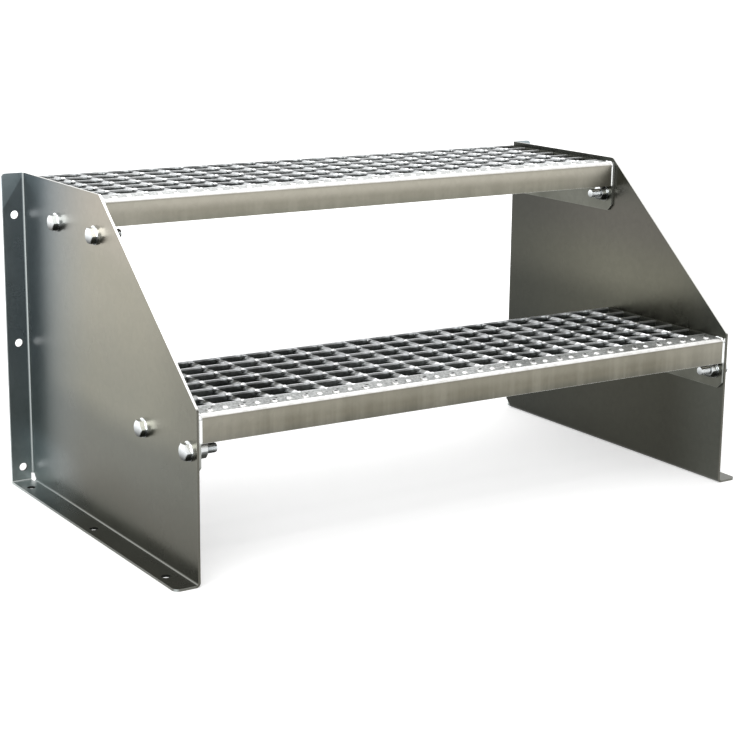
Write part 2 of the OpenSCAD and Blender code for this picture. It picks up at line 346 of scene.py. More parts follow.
@dataclass(frozen=True)
class Surface:
    """What a finish can read about the point that it colours."""

    graph: Graph
    effects: Effects
    place: Socket
    normal: Socket
    zinc: bpy.types.Node

    def clouded(self, metal: Socket, depth: float, share: float = 0.6) -> Socket:
        """Lays the soft clouds and the fine crystals of the zinc over a colour.

        Args:
            metal: The colour.
            depth: How far the clouds go to either side of no change.
            share: Strength of the clouds.

        Returns:
            The clouded colour.
        """
        graph = self.graph
        cloud = graph.remap(self.zinc.outputs["Cloud"], 0.5 - depth, 0.5 + depth)
        crystal = graph.remap(self.zinc.outputs["Crystal"], 0.5 - depth / 2, 0.5 + depth / 2)
        return graph.mix(share, graph.mix(share, metal, cloud, "OVERLAY"), crystal, "OVERLAY")

    def rubbed(self, metal: Socket, width: float, bright: str, share: float) -> Socket:
        """Paints a highlight on the edges of a piece.

        Args:
            metal: The colour.
            width: Width of the edge in metres.
            bright: Colour of the painted edge highlight.
            share: Strength of the effect.

        Returns:
            The colour with its painted edge highlights.
        """
        edge = self.graph.place_group(self.effects.edge, width=width)
        return self.graph.mix(self.graph.product(edge.outputs["Mask"], share), metal, linear(bright))


@dataclass(frozen=True)
class Finish:
    """A metal finish: what all of them share.

    Attributes:
        name: Name of the material.
        roughness: Roughness of the cleanest and of the dullest spots.
        relief: Height of the fine relief, in metres.
        metal: Share of metal in the surface.
        clouds: Clouds of the zinc in a metre.
    """

    name: str
    roughness: tuple[float, float] = (0.3, 0.45)
    relief: float = 0.04 * MM
    metal: float = 1.0
    clouds: float = 9.0

    def colour(self, surface: Surface) -> Socket:
        """Gives the colour of the surface; each finish says its own."""
        raise NotImplementedError

    def build(self, effects: Effects) -> bpy.types.Material:
        """Builds the material.

        Args:
            effects: The shared node groups.

        Returns:
            The material, with its colour, roughness and relief.
        """
        material = bpy.data.materials.new(self.name)
        material.use_nodes = True
        material.node_tree.nodes.clear()
        graph = Graph(material.node_tree)
        where = graph.node("ShaderNodeTexCoord")
        zinc = graph.place_group(effects.zinc, place=where.outputs["Object"], cloud_scale=self.clouds,
                                 crystal_scale=160.0)
        surface = Surface(graph, effects, where.outputs["Object"], where.outputs["Normal"], zinc)
        shader = graph.node("ShaderNodeBsdfPrincipled")
        shader.inputs["Metallic"].default_value = self.metal
        graph.feed(shader.inputs["Base Color"], self.colour(surface))
        dull = graph.math("MULTIPLY_ADD", zinc.outputs["Grain"], 0.3, graph.product(zinc.outputs["Cloud"], 0.7))
        graph.feed(shader.inputs["Roughness"], graph.remap(dull, *self.roughness))
        bump = graph.node("ShaderNodeBump")
        bump.inputs["Distance"].default_value = self.relief
        graph.feed(bump.inputs["Height"], zinc.outputs["Grain"])
        graph.feed(shader.inputs["Normal"], bump.outputs["Normal"])
        graph.feed(graph.node("ShaderNodeOutputMaterial").inputs["Surface"], shader.outputs[0])
        return material


@dataclass(frozen=True)
class HoleRow:
    """Three evenly spaced anchor holes in a flange, in metres.

    Attributes:
        reach: Distance of the row from the middle of the stair.
        middle: Place of the middle hole along the row.
        pitch: Spacing of the holes.
        radius: Radius of a hole.
    """

    reach: float
    middle: float
    pitch: float
    radius: float

    @classmethod
    def from_mount(cls, mount: dict, axis: int) -> "HoleRow":
        """Reads the row from the record's mount of four corner holes.

        Args:
            mount: The mount.
            axis: The axis that the row runs along: 1 for Y, 2 for Z.
        """
        sizes = mount["dims"]
        return cls(sizes["spacing_x_mm"] / 2 * MM, mount["pos_m"][axis], sizes["spacing_y_mm"] / 2 * MM,
                   sizes["hole_r_mm"] * MM)


@dataclass(frozen=True)
class SideSheet(Finish):
    """The folded side sheets, coloured with painted reflections, highlights and shade: warm and soft outside, bluish by
    the wall flange, dark inside.

    Attributes:
        side: The end of the treads that the sheet is bolted to.
        low: Lowest corner of the sheet.
        high: Highest corner of the sheet.
        face_x: Distance of the outer face from the middle of the stair.
        floor_row: Anchor holes of the floor flange.
        wall_row: Anchor holes of the wall flange.
    """

    side: Side = Side.LEFT
    low: Vector = Vector()
    high: Vector = Vector()
    face_x: float = 0.403
    floor_row: HoleRow | None = None
    wall_row: HoleRow | None = None

    def outer_face(self, s: Surface, y: Socket, z: Socket) -> Socket:
        """Colours the outer face: a painted soft reflection of what stands before the stair."""
        graph, back = s.graph, self.high.y
        sway = graph.math("MULTIPLY_ADD", graph.noise(s.place, 5.0, 1.0), 0.05, z)
        warm = graph.stops(sway, ((0.03, "57584f"), (0.075, "515046"), (0.15, "585950"), (0.2, "747366"),
                                  (0.34, "807d6f"), (0.44, "918b7f")))
        cool = graph.stops(z, ((0.0, "929a9a"), (0.05, "768082"), (0.09, "5c6464"), (0.2, "62696a"),
                               (0.42, "687073")))
        near_wall = graph.ramp(graph.math("MULTIPLY_ADD", sway, 0.15, y), back - 0.19, back + 0.02)
        face = graph.mix(near_wall, warm, cool)
        # Painted reflection: darker low down at the front.
        front = graph.product(graph.ramp(y, self.low.y + 0.13, self.low.y),
                              graph.ramp(z, 0.1, 0.17), 0.35)
        return graph.mix(front, face, linear("4a4a42"))

    def inner_face(self, s: Surface, y: Socket, z: Socket) -> Socket:
        """Colours the inner face with painted shade that the treads and the wall side would cast, lighter at the front.
        """
        graph = s.graph
        high = graph.stops(z, ((0.0, "41413a"), (0.13, "3c3c35"), (0.2, "4b4b42"), (0.26, "626156"),
                               (0.34, "57554f"), (0.42, "4b4d47")))
        behind = graph.ramp(y, -0.05, self.high.y)
        face = graph.mix(graph.product(behind, 0.7), high, linear("2e302c"))
        at_front = graph.ramp(y, self.low.y + 0.12, self.low.y)
        return graph.mix(graph.product(at_front, 0.6), face, linear("5a5c56"))

    def wall_flange(self, s: Surface, reach: Socket, z: Socket) -> Socket:
        """Colours the wall flange with a painted reflection, and a painted highlight patch at its top corner."""
        graph, top = s.graph, self.high.z
        flange = graph.stops(z, ((0.0, "b4bcbc"), (0.05, "8b9495"), (0.1, "727a7b"), (0.2, "6c7477"),
                                 (0.42, "72797b")))
        corner = graph.math("MULTIPLY_ADD", graph.math("SUBTRACT", reach, self.face_x), 1.5, z)
        return graph.mix(graph.ramp(corner, top - 4 * MM, top + 1 * MM), flange, linear("919b9e"))

    def floor_flange(self, s: Surface, y: Socket) -> Socket:
        """Colours the floor flange with a painted reflection, lighter towards the wall."""
        return s.graph.stops(y, ((-0.24, "6b6b65"), (0.02, "64665f"), (0.1, "717672"), (0.17, "959a98"),
                                 (0.24, "abb1af")))

    def colour(self, s: Surface) -> Socket:
        """Gives the colour of a side sheet."""
        graph = s.graph
        x, y, z = graph.parts(s.place)
        nx, ny, nz = graph.parts(s.normal)
        reach = graph.math("ABSOLUTE", x)
        outward = graph.product(nx, float(self.side.value))
        sheet = graph.mix(graph.ramp(outward, -0.3, -0.7), self.outer_face(s, y, z), self.inner_face(s, y, z))
        beyond = graph.ramp(reach, self.face_x + 1.2 * MM, self.face_x + 3.2 * MM)
        low_down = graph.ramp(z, self.low.z + 7 * MM, self.low.z + 4 * MM)
        flange = graph.mix(low_down, self.wall_flange(s, reach, z), self.floor_flange(s, y))
        sheet = graph.mix(beyond, sheet, flange)
        sheet = s.clouded(sheet, 0.06, 0.5)
        out = float(self.side.value)
        # Painted highlights along the folds to the wall flange and to the floor flange.
        wall_fold = graph.ramp(graph.along(s.normal, (out, -1.0, 0.0)), 0.9, 0.98)
        sheet = graph.mix(graph.product(wall_fold, 0.9), sheet, linear("a9afae"))
        floor_fold = graph.ramp(graph.along(s.normal, (out, 0.0, 1.0)), 0.9, 0.98)
        fold = graph.stops(y, ((-0.24, "82837d"), (0.1, "8d8f8a"), (0.24, "b5bab8")))
        sheet = graph.mix(graph.product(floor_fold, 0.8), sheet, fold)
        # Painted highlight on the sheet's edges.
        sheet = s.rubbed(sheet, 0.8 * MM, "b9bdba", 0.35)
        # Painted highlight on the sloping upper cut edge.
        upper_cut = graph.product(graph.ramp(graph.along(s.normal, (0, -0.5, 0.9)), 0.5, 0.8),
                                  graph.ramp(reach, self.face_x + 1.5 * MM, self.face_x + 0.5 * MM))
        sheet = graph.mix(upper_cut, sheet, linear("f4f4f1"))
        # Painted shade on the front cut edges.
        front_cut = graph.product(graph.ramp(ny, -0.7, -0.95), graph.ramp(reach, self.face_x + 1.5 * MM,
                                                                         self.face_x + 0.5 * MM))
        sheet = graph.mix(front_cut, sheet, linear("5c5b54"))
        return self.with_bores(s, sheet, reach, y, z)

    def with_bores(self, s: Surface, sheet: Socket, reach: Socket, y: Socket, z: Socket) -> Socket:
        """Paints shade on the walls of the anchor holes."""
        graph = s.graph
        for row, run in ((self.floor_row, y), (self.wall_row, z)):
            walls = graph.place_group(
                s.effects.bore, along=graph.math("SUBTRACT", run, row.middle),
                beside=graph.math("SUBTRACT", reach, row.reach), pitch=row.pitch, radius=row.radius)
            sheet = graph.mix(walls.outputs["Mask"], sheet, linear("20211f"))
        return sheet


@dataclass(frozen=True)
class Grating(Finish):
    """Bars and rods of a tread: painted light on top and in a rim below the walking surface, painted shade in the
    cells.

    Attributes:
        top: Colour of the walking surface and the rim, painted light.
        wall: Colour of the painted shade on the walls of the cells.
        surface_z: Height of the walking surface.
        rim: Depth of the painted highlight rim below the walking surface.
    """

    top: str = "f0f2f3"
    wall: str = "3c3f3c"
    surface_z: float = 0.204
    rim: float = 2.6 * MM

    def colour(self, s: Surface) -> Socket:
        """Gives the colour of the grating steel."""
        graph = s.graph
        z = graph.parts(s.place)[2]
        # Painted light on up-facing faces and the rim; painted shade on the cell walls, lighter near the top.
        up = graph.ramp(graph.parts(s.normal)[2], 0.3, 0.8)
        rim = graph.ramp(z, self.surface_z - self.rim, self.surface_z - 0.6 * self.rim)
        deep = graph.ramp(z, self.surface_z - 12 * MM, self.surface_z - 2 * MM)
        wall = graph.mix(graph.product(deep, 0.45), linear(self.wall), linear("8a8e8d"))
        metal = graph.mix(graph.math("MAXIMUM", up, graph.product(rim, 0.85)), wall, linear(self.top))
        speckle = graph.ramp(graph.noise(s.place, 260.0, 2.0, 0.6), 0.3, 0.7)
        metal = graph.mix(0.7, metal, graph.remap(speckle, 0.34, 0.62), "OVERLAY")
        # Painted highlight on the edges.
        return s.rubbed(s.clouded(metal, 0.08), 0.8 * MM, "f6f8f8", 0.5)


@dataclass(frozen=True)
class Nosing(Finish):
    """The folded nosing: olive face, white ridge of painted highlight, and a strip lightened by painted light, with
    painted highlights on its stud crowns and painted shade in its holes.

    Attributes:
        face: Colours of the front face, from its lower edge to the fold.
        half: Half the length of the tread.
        front: Place of the front face along Y.
        surface_z: Height of the walking surface.
    """

    face: tuple[str, str, str] = ("5c5b52", "6c695d", "7b786c")
    half: float = 0.397
    front: float = -0.244
    surface_z: float = 0.204

    def colour(self, s: Surface) -> Socket:
        """Gives the colour of the nosing."""
        graph = s.graph
        x, y, z = graph.parts(s.place)
        below = graph.math("SUBTRACT", z, self.surface_z)
        low, middle, high = self.face
        face = graph.stops(below, ((-34 * MM, low), (-22 * MM, middle), (-9 * MM, high)))
        ends = graph.ramp(graph.math("ABSOLUTE", x), self.half - 0.12, self.half)
        face = graph.mix(graph.product(ends, 0.35), face, linear("95938a"))
        streak = graph.ramp(graph.noise(graph.vector("MULTIPLY", s.place, (40.0, 1.0, 3.0)), 1.0, 3.0, 0.7), 0.35, 0.75)
        face = graph.mix(graph.product(streak, 0.3), face, linear("9a978b"))
        # Painted light: the up-facing strip is lighter than the face.
        up = graph.ramp(graph.parts(s.normal)[2], 0.6, 0.95)
        dints = graph.ramp(graph.noise(s.place, 300.0, 2.0, 0.7), 0.35, 0.65)
        strip = graph.mix(dints, linear("a3a6a5"), linear("dfe1e0"))
        metal = graph.mix(up, face, strip)
        # Painted highlight along the fold's ridge, broken by noise.
        ridge = graph.ramp(graph.along(s.normal, (0, -0.62, 0.78)), 0.8, 0.93)
        broken = graph.remap(graph.ramp(graph.noise(s.place, 90.0, 3.0, 0.7), 0.3, 0.6), 0.75, 1.0)
        metal = graph.mix(graph.product(ridge, broken), metal, linear("fbfaf7"))
        # Painted highlight on the stud crowns.
        crowns = graph.ramp(below, 0.7 * MM, 1.1 * MM)
        metal = graph.mix(crowns, metal, linear("fafbfb"))
        # Painted shade on the walls of the holes.
        holes = graph.product(graph.ramp(graph.math("ABSOLUTE", graph.parts(s.normal)[2]), 0.3, 0.1),
                              graph.ramp(y, self.front + 6.5 * MM, self.front + 8 * MM))
        metal = graph.mix(holes, metal, linear("2e2f2d"))
        # Painted highlight on the edges.
        return s.rubbed(s.clouded(metal, 0.05), 0.8 * MM, "f2f3f2", 0.6)


@dataclass(frozen=True)
class EndPlate(Finish):
    """The flat end plates: dull on their faces, with painted light on the front edge and a painted highlight on the
    weld.
    """

    front: float = -0.244
    surface_z: float = 0.204

    def colour(self, s: Surface) -> Socket:
        """Gives the colour of an end plate."""
        graph = s.graph
        ny = graph.parts(s.normal)[1]
        y, z = graph.parts(s.place)[1:]
        plate = graph.mix(s.zinc.outputs["Cloud"], linear("53544c"), linear("6a6b63"))
        # Painted light on the front-facing edge.
        edge = graph.ramp(ny, -0.6, -0.95)
        plate = graph.mix(edge, plate, linear("8d8f8b"))
        # Painted highlight on the weld along the front edge, over the height of the nosing.
        weld = graph.product(graph.ramp(y, self.front + 0.3 * MM, self.front - 0.1 * MM),
                             graph.ramp(z, self.surface_z - 36 * MM, self.surface_z - 31 * MM))
        plate = graph.mix(weld, plate, linear("eceeed"))
        # Painted highlight on the edges.
        return s.rubbed(s.clouded(plate, 0.08), 0.7 * MM, "a5a8a4", 0.6)


@dataclass(frozen=True)
class Weld(Finish):
    """Weld metal under fresh zinc, made the brightest spots of a tread by painted light above and painted shade below.
    """

    light: str = "fcfdfd"
    dull: str = "c9cdce"

    def colour(self, s: Surface) -> Socket:
        """Gives the colour of the weld metal."""
        graph = s.graph
        # Painted light on top, painted shade below.
        up = graph.ramp(graph.parts(s.normal)[2], -0.4, 0.5)
        metal = graph.mix(up, linear("5b5e5c"), linear(self.light))
        spots = graph.ramp(graph.noise(s.place, 400.0, 3.0, 0.6), 0.45, 0.7)
        return graph.mix(graph.product(spots, 0.7), metal, linear(self.dull))


@dataclass(frozen=True)
class Fastener(Finish):
    """Zinc-plated bolts, nuts and washers: bright above, in shade below.

    Attributes:
        axis_z: Height of the bolt axes.
        radius: Half the width of the head.
    """

    axis_z: float = 0.159
    radius: float = 9.5 * MM

    def colour(self, s: Surface) -> Socket:
        """Gives the colour of the plating."""
        graph = s.graph
        rise = graph.math("SUBTRACT", graph.parts(s.place)[2], self.axis_z)
        nz = graph.parts(s.normal)[2]
        lit = graph.ramp(graph.math("MULTIPLY_ADD", nz, 8 * MM, rise), -self.radius, 0.55 * self.radius)
        metal = graph.mix(lit, linear("343633"), linear("dfe3e4"))
        bright = graph.ramp(graph.math("MULTIPLY_ADD", nz, 8 * MM, rise), 0.2 * self.radius, self.radius)
        metal = graph.mix(bright, metal, linear("fafcfc"))
        # Painted highlight on the edges.
        return s.rubbed(s.clouded(metal, 0.1), 0.5 * MM, "f2f5f5", 0.5)


def forge_weld_tree() -> bpy.types.NodeTree:
    """Builds the lumps of metal that a forge weld squeezes up at every crossing.

    Returns:
        A tree that lays lumps on a grid, each with its own size and turn.
    """
    graph, takes, gives = open_tree(
        "forge_welds", "GeometryNodeTree",
        {"Columns": "Int", "Rows": "Int", "Column pitch": "Float", "Row pitch": "Float", "Centre": "Vector",
         "Lump": "Vector", "Seed": "Int", "Metal": "Material"},
        {"Geometry": "Geometry"},
    )
    grid = graph.node("GeometryNodeMeshGrid")
    for count, pitch, size in (("Columns", "Column pitch", "Size X"), ("Rows", "Row pitch", "Size Y")):
        gaps = graph.math("SUBTRACT", takes[count], 1.0)
        graph.feed(grid.inputs[size], graph.product(gaps, takes[pitch]))
        graph.feed(grid.inputs[size.replace("Size", "Vertices")], takes[count])
    points = graph.node("GeometryNodeTransform")
    graph.feed(points.inputs["Geometry"], grid.outputs["Mesh"])
    graph.feed(points.inputs["Translation"], takes["Centre"])
    ball = graph.node("GeometryNodeMeshUVSphere")
    ball.inputs["Segments"].default_value = 10
    ball.inputs["Rings"].default_value = 6
    ball.inputs["Radius"].default_value = 1.0
    lump = graph.node("GeometryNodeTransform")
    graph.feed(lump.inputs["Geometry"], ball.outputs["Mesh"])
    graph.feed(lump.inputs["Scale"], takes["Lump"])
    size = graph.node("FunctionNodeRandomValue", data_type="FLOAT_VECTOR")
    size.inputs["Min"].default_value = (0.8, 0.85, 0.8)
    size.inputs["Max"].default_value = (1.15, 1.15, 1.1)
    graph.feed(size.inputs["Seed"], takes["Seed"])
    turn = graph.node("FunctionNodeRandomValue", data_type="FLOAT_VECTOR")
    turn.inputs["Min"].default_value = (0.0, 0.0, -0.35)
    turn.inputs["Max"].default_value = (0.0, 0.0, 0.35)
    graph.feed(turn.inputs["Seed"], graph.math("ADD", takes["Seed"], 1.0))
    laid = graph.node("GeometryNodeInstanceOnPoints")
    graph.feed(laid.inputs["Points"], points.outputs["Geometry"])
    graph.feed(laid.inputs["Instance"], lump.outputs["Geometry"])
    graph.feed(laid.inputs["Rotation"], turn.outputs["Value"])
    graph.feed(laid.inputs["Scale"], size.outputs["Value"])
    close_tree(graph, laid.outputs["Instances"], takes["Metal"], gives["Geometry"], smooth=True)
    return graph.tree


def weld_bead_tree() -> bpy.types.NodeTree:
    """Builds a weld bead: overlapping ripples that follow a guide line.

    Returns:
        A tree that takes the guide as its geometry.
    """
    graph, takes, gives = open_tree(
        "weld_bead", "GeometryNodeTree",
        {"Geometry": "Geometry", "Step": "Float", "Ripple": "Vector", "Seed": "Int", "Metal": "Material"},
        {"Geometry": "Geometry"},
    )
    guide = graph.node("GeometryNodeMeshToCurve")
    graph.feed(guide.inputs["Mesh"], takes["Geometry"])
    points = graph.node("GeometryNodeResampleCurve", mode="LENGTH")
    graph.feed(points.inputs["Curve"], guide.outputs["Curve"])
    graph.feed(points.inputs["Length"], takes["Step"])
    ball = graph.node("GeometryNodeMeshUVSphere")
    ball.inputs["Segments"].default_value = 8
    ball.inputs["Rings"].default_value = 6
    ball.inputs["Radius"].default_value = 1.0
    size = graph.node("FunctionNodeRandomValue", data_type="FLOAT_VECTOR")
    size.inputs["Min"].default_value = (0.82, 0.92, 0.9)
    size.inputs["Max"].default_value = (1.08, 1.0, 1.1)
    graph.feed(size.inputs["Seed"], takes["Seed"])
    ripple = graph.node("GeometryNodeTransform")
    graph.feed(ripple.inputs["Geometry"], ball.outputs["Mesh"])
    graph.feed(ripple.inputs["Scale"], takes["Ripple"])
    laid = graph.node("GeometryNodeInstanceOnPoints")
    graph.feed(laid.inputs["Points"], points.outputs["Curve"])
    graph.feed(laid.inputs["Instance"], ripple.outputs["Geometry"])
    graph.feed(laid.inputs["Scale"], size.outputs["Value"])
    close_tree(graph, laid.outputs["Instances"], takes["Metal"], gives["Geometry"], smooth=True)
    return graph.tree


def threaded_shank_tree() -> bpy.types.NodeTree:
    """Builds the threaded shanks of two bolts and joins them to their heads.

    Returns:
        A tree that takes the heads as its geometry. A shank grows along Z from its tip and is
        turned to the bolts' axis.
    """
    graph, takes, gives = open_tree(
        "threaded_shanks", "GeometryNodeTree",
        {"Geometry": "Geometry", "First tip": "Vector", "Spacing": "Vector", "Turn": "Rotation",
         "Core radius": "Float", "Outer radius": "Float", "Pitch": "Float", "Shank": "Float",
         "Thread": "Float", "Metal": "Material"},
        {"Geometry": "Geometry"},
    )
    core = graph.node("GeometryNodeMeshCylinder")
    core.inputs["Vertices"].default_value = 24
    graph.feed(core.inputs["Radius"], takes["Core radius"])
    graph.feed(core.inputs["Depth"], takes["Shank"])
    middle = graph.node("ShaderNodeCombineXYZ")
    graph.feed(middle.inputs["Z"], graph.product(takes["Shank"], 0.5))
    raised = graph.node("GeometryNodeTransform")
    graph.feed(raised.inputs["Geometry"], core.outputs["Mesh"])
    graph.feed(raised.inputs["Translation"], middle.outputs[0])
    helix = graph.node("GeometryNodeCurveSpiral")
    helix.inputs["Resolution"].default_value = 24
    graph.feed(helix.inputs["Rotations"], graph.math("DIVIDE", takes["Thread"], takes["Pitch"]))
    graph.feed(helix.inputs["Start Radius"], takes["Core radius"])
    graph.feed(helix.inputs["End Radius"], takes["Core radius"])
    graph.feed(helix.inputs["Height"], takes["Thread"])
    upright = graph.node("GeometryNodeSetCurveNormal", mode="Z_UP")
    graph.feed(upright.inputs["Curve"], helix.outputs["Curve"])
    diamond = graph.node("GeometryNodeCurvePrimitiveCircle")
    diamond.inputs["Resolution"].default_value = 4
    diamond.inputs["Radius"].default_value = 1.0
    section = graph.node("ShaderNodeCombineXYZ")
    graph.feed(section.inputs["X"], graph.math("SUBTRACT", takes["Outer radius"], takes["Core radius"]))
    graph.feed(section.inputs["Y"], graph.product(takes["Pitch"], 0.49))
    section.inputs["Z"].default_value = 1.0
    profile = graph.node("GeometryNodeTransform")
    graph.feed(profile.inputs["Geometry"], diamond.outputs["Curve"])
    graph.feed(profile.inputs["Scale"], section.outputs[0])
    run = graph.node("GeometryNodeSplineParameter")
    ridge = graph.node("GeometryNodeCurveToMesh")
    graph.feed(ridge.inputs["Curve"], upright.outputs["Curve"])
    graph.feed(ridge.inputs["Profile Curve"], profile.outputs["Geometry"])
    graph.feed(ridge.inputs["Scale"], graph.remap(graph.ramp(run.outputs["Length"], 0.0, 30 * MM), 0.2, 1.0))
    ridge.inputs["Fill Caps"].default_value = True
    shank = graph.node("GeometryNodeJoinGeometry")
    graph.feed(shank.inputs["Geometry"], raised.outputs["Geometry"])
    graph.feed(shank.inputs["Geometry"], ridge.outputs["Mesh"])
    pair = graph.node("GeometryNodeMeshLine")
    pair.inputs["Count"].default_value = 2
    graph.feed(pair.inputs["Start Location"], takes["First tip"])
    graph.feed(pair.inputs["Offset"], takes["Spacing"])
    laid = graph.node("GeometryNodeInstanceOnPoints")
    graph.feed(laid.inputs["Points"], pair.outputs["Mesh"])
    graph.feed(laid.inputs["Instance"], shank.outputs["Geometry"])
    graph.feed(laid.inputs["Rotation"], takes["Turn"])
    both = graph.node("GeometryNodeJoinGeometry")
    graph.feed(both.inputs["Geometry"], laid.outputs["Instances"])
    graph.feed(both.inputs["Geometry"], takes["Geometry"])
    close_tree(graph, both.outputs["Geometry"], takes["Metal"], gives["Geometry"], smooth=False)
    return graph.tree


def close_tree(graph: Graph, shape: Socket, metal: Socket, out: Socket, smooth: bool) -> None:
    """Ends a tree: makes its instances real, shades them and gives them their metal."""
    real = graph.node("GeometryNodeRealizeInstances")
    graph.feed(real.inputs["Geometry"], shape)
    shaded = graph.node("GeometryNodeSetShadeSmooth")
    graph.feed(shaded.inputs["Geometry"], real.outputs["Geometry"])
    shaded.inputs["Shade Smooth"].default_value = smooth
    dressed = graph.node("GeometryNodeSetMaterial")
    graph.feed(dressed.inputs["Geometry"], shaded.outputs["Geometry"])
    graph.feed(dressed.inputs["Material"], metal)
    graph.feed(out, dressed.outputs["Geometry"])


def grow(name: str, tree: bpy.types.NodeTree, slot: Part, base: bpy.types.Mesh | None = None,
         **sizes: object) -> bpy.types.Object:
    """Runs a Geometry Nodes tree and keeps its result as a plain mesh that rides on the stair.

    Args:
        name: Name of the piece.
        tree: The tree.
        slot: Not used.
        base: The mesh that the tree starts from, if it takes one.
        sizes: Values for the tree's inputs; underscores stand for blanks in their names.

    Returns:
        The new piece.
    """
    piece = bpy.data.objects.new(name, base or bpy.data.meshes.new(name))
    bpy.context.scene.collection.objects.link(piece)
    form = piece.modifiers.new("form", "NODES")
    form.node_group = tree
    inputs = {item.name: item.identifier for item in tree.interface.items_tree
              if item.item_type == "SOCKET" and item.in_out == "INPUT"}
    for title, value in sizes.items():
        form[inputs[title.replace("_", " ").capitalize()]] = value
    view = bpy.context.evaluated_depsgraph_get()
    mesh = bpy.data.meshes.new_from_object(piece.evaluated_get(view))
    piece.modifiers.clear()
    piece.data = mesh
    mesh.name = name
    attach(piece, "root")
    LOG.info("grew %s: %d faces", name, len(mesh.polygons))
    return piece


def dress(piece: bpy.types.Object, material: bpy.types.Material) -> None:
    """Puts one material on a piece, in all of its material slots.

    Args:
        piece: The object.
        material: Its new material.
    """
    if not piece.material_slots:
        piece.data.materials.append(material)
    for slot in piece.material_slots:
        slot.material = material
    LOG.info("dressed %s with %s", piece.name, material.name)


@dataclass
class Stringers:
    """The two folded side sheets."""

    frame: dict
    effects: Effects

    def mount(self, name: str) -> dict:
        """Finds one of the record's mounts."""
        return next(m for m in self.frame["record"]["mounts"] if m["name"] == name)

    def build(self) -> None:
        """Gives each side sheet its finish."""
        floor_row = HoleRow.from_mount(self.mount("floor_bolts"), 1)
        wall_row = HoleRow.from_mount(self.mount("wall_bolts"), 2)
        for side in Side:
            node = f"{side.word}_stringer"
            low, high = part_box(node)
            washer_low, washer_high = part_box(f"upper_{side.word}_washers")
            face_x = max(abs(washer_low.x), abs(washer_high.x)) - 2.5 * MM
            finish = SideSheet(f"{node}_zinc", side=side, roughness=(0.24, 0.36), low=low, high=high,
                               face_x=face_x, floor_row=floor_row, wall_row=wall_row, clouds=7.0)
            dress(self.frame["nodes"][node], finish.build(self.effects))


@dataclass
class Tread:
    """One grating tread with its nosing, end plates and welds.

    Attributes:
        frame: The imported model.
        effects: The shared node groups.
        level: Lower or upper.
        rod_pitch: Spacing of the cross rods.
        rows: Bearing bars in a tread.
        lump: Half the length, width and height of a forge weld.
        ripple: Half the width, depth and height of a ripple of a weld bead.
    """

    frame: dict
    effects: Effects
    level: Level
    rod_pitch: float = 38.1 * MM
    rows: int = 6
    lump: Triple = (4.6 * MM, 2.9 * MM, 2.0 * MM)
    ripple: Triple = (2.7 * MM, 2.5 * MM, 2.5 * MM)

    def box(self, piece: str) -> tuple[Vector, Vector]:
        """Gives the corners of a piece of this tread."""
        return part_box(f"{self.level.value}_{piece}")

    def place(self, piece: str, material: bpy.types.Material) -> None:
        """Dresses a piece of this tread."""
        dress(self.frame["nodes"][f"{self.level.value}_{piece}"], material)

    @property
    def surface_z(self) -> float:
        """Height of the walking surface."""
        return self.box("bearing_bars")[1].z

    def dress(self) -> None:
        """Gives each piece of the tread its finish."""
        word, top = self.level.value, self.surface_z
        front = self.box("left_end_plate")[0].y + 1 * MM
        bars = Grating(f"{word}_bar_zinc", surface_z=top).build(self.effects)
        rods = Grating(f"{word}_rod_zinc", surface_z=top, wall="6d706e", rim=4.5 * MM).build(self.effects)
        face = ("5c5b52", "6c695d", "7b786c") if self.level is Level.LOWER else ("76756a", "817e72", "a09c90")
        nosing = Nosing(f"{word}_nosing_zinc", surface_z=top, front=front, face=face).build(self.effects)
        plate = EndPlate(f"{word}_end_plate_zinc", front=front, surface_z=top).build(self.effects)
        self.place("bearing_bars", bars)
        self.place("rear_bar", bars)
        self.place("cross_rods", rods)
        self.place("nosing", nosing)
        for side in Side:
            self.place(f"{side.word}_end_plate", plate)

    def forge_welds(self, tree: bpy.types.NodeTree, metal: bpy.types.Material) -> None:
        """Lays a forge weld on every crossing of a rod and a bar."""
        low, high = self.box("bearing_bars")
        rod_low, rod_high = self.box("cross_rods")
        rear_low, rear_high = self.box("rear_bar")
        bar_t = rear_high.y - rear_low.y
        row_pitch = (high.y - low.y - bar_t) / (self.rows - 1)
        columns = round((rod_high.x - rod_low.x) / self.rod_pitch) + 1
        middle = Vector((0.0, (low.y + high.y) / 2, self.surface_z - 0.55 * self.lump[2]))
        grow(f"{self.level.value}_forge_welds", tree, Part.GRATING, columns=columns, rows=self.rows,
             column_pitch=self.rod_pitch, row_pitch=row_pitch, centre=middle, lump=self.lump, seed=4,
             metal=metal)
        back = Vector((0.0, rear_low.y, rod_high.z - 3 * MM))
        grow(f"{self.level.value}_rod_end_welds", tree, Part.GRATING, columns=columns, rows=1,
             column_pitch=self.rod_pitch, row_pitch=row_pitch, centre=back,
             lump=(3.4 * MM, 1.6 * MM, 2.6 * MM), seed=9, metal=metal)

    def nosing_beads(self, tree: bpy.types.NodeTree, metal: bpy.types.Material) -> None:
        """Lays a rippled bead over each end of the nosing, up its face and round its fold."""
        low, high = self.box("nosing")
        fold_r, seat, top, back = 6 * MM, 1.6 * MM, self.surface_z, 14 * MM
        guide = bmesh.new()
        for x in (low.x, high.x):
            path = [Vector((x, low.y + seat, low.z + 3 * MM))]
            centre = Vector((x, low.y + fold_r, top - fold_r))
            for step in range(7):
                angle = math.radians(180 - 15 * step)
                path.append(centre + (fold_r - seat) * Vector((0, math.cos(angle), math.sin(angle))))
            path.append(Vector((x, low.y + back, top - seat)))
            corners = [guide.verts.new(point) for point in path]
            for start, stop in zip(corners, corners[1:]):
                guide.edges.new((start, stop))
        base = bpy.data.meshes.new("bead_guide")
        guide.to_mesh(base)
        guide.free()
        grow(f"{self.level.value}_nosing_beads", tree, Part.END_PLATE, base, step=1.4 * MM,
             ripple=self.ripple, seed=2, metal=metal)


